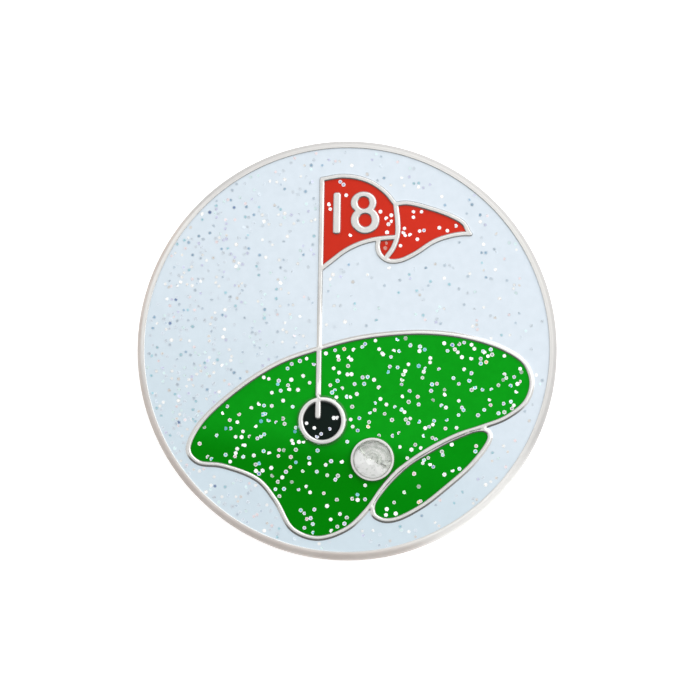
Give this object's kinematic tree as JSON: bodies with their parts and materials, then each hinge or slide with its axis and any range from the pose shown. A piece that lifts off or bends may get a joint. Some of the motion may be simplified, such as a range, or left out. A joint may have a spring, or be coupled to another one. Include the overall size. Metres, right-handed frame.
{
  "type": "ball marker",
  "caption": "Round struck-metal ball marker with raised line art of a flag on a putting green, glitter enamel fills and a small bezel-set crystal.",
  "frame": {"origin": "middle of the flat back face", "axes": "+Z out of the struck face, +Y up the artwork along the flag pole, +X to the right of the artwork"},
  "size_m": [0.0254, 0.0254, 0.0023],
  "materials": {
    "nickel": "nickel plating on struck iron, lightly brushed tops and satin recesses",
    "sky_enamel": "pale blue soft enamel, glossy, with fine iridescent glitter",
    "green_enamel": "bright green soft enamel, glossy, with white and coloured glitter",
    "black_enamel": "black soft enamel, glossy, with a few white flakes",
    "red_enamel": "orange-red soft enamel, glossy, with white glitter",
    "crystal": "clear cut glass with flat facets",
    "foil": "silver mirror coat on the back of the stone",
    "glue": "clear to straw-coloured epoxy",
    "glitter": "metallised hexagonal film flakes with a pearly shine"
  },
  "bodies": {
    "root": {"struck_disc": "nickel", "sky_enamel": "sky_enamel", "green_enamel": "green_enamel", "apron_enamel": "green_enamel", "cup_enamel": "black_enamel", "flag_enamel": "red_enamel", "flag_fold_enamel": "red_enamel", "flag_tail_enamel": "red_enamel", "eight_upper_enamel": "red_enamel", "eight_lower_enamel": "red_enamel", "crystal": "crystal", "crystal_foil": "foil", "crystal_glue": "glue"}
  },
  "joints": []
}
